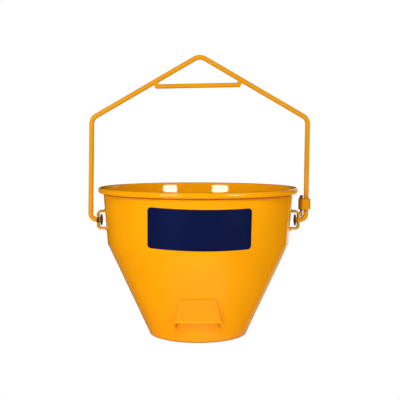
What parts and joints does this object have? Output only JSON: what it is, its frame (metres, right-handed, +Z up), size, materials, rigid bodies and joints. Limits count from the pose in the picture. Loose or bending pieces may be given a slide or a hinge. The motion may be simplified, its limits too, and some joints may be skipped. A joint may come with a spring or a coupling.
{
  "type": "hoist bucket",
  "caption": "Tapered steel hoist bucket with a rolled rim, a swinging round-bar bail with a hook peak, a sliding lock collar on one leg and a tip handle at the lower front.",
  "frame": {"origin": "centre of the base plate's underside", "axes": "+Z up along the bucket's axis, -Y towards the tip handle and label, +X towards the leg with the lock collar"},
  "size_m": [0.5413, 0.4828, 0.6735],
  "materials": {
    "body_paint": "glossy orange-yellow paint",
    "bare_steel": "dark oiled steel",
    "label_film": "navy film, blank"
  },
  "bodies": {
    "bucket": {"upper_band": "body_paint", "lower_cone": "body_paint", "base_plate": "body_paint", "seam_weld": "body_paint", "back_welds": "body_paint", "left_strap": "body_paint", "right_strap": "body_paint", "left_strap_welds": "body_paint", "right_strap_welds": "body_paint", "lock_fork": "body_paint", "tip_handle": "body_paint", "handle_weld": "body_paint", "label": "label_film"},
    "bail": {"bail_rod": "body_paint", "cross_bar": "body_paint", "cross_bar_welds": "body_paint", "left_washer": "bare_steel", "right_washer": "bare_steel", "washer_welds": "bare_steel"},
    "collar": {"lock_collar": "body_paint", "lock_pin": "bare_steel", "pin_weld": "bare_steel"}
  },
  "joints": [
    {"name": "bail_swing", "type": "hinge", "parent": "bucket", "child": "bail", "pos_m": [0, 0, 0.2755], "axis": [1, 0, 0], "range_deg": [-133, 133]},
    {"name": "collar_slide", "type": "slide", "parent": "bail", "child": "collar", "axis": [0.009, 0, 1], "range_m": [-0.0045, 0.172]}
  ]
}
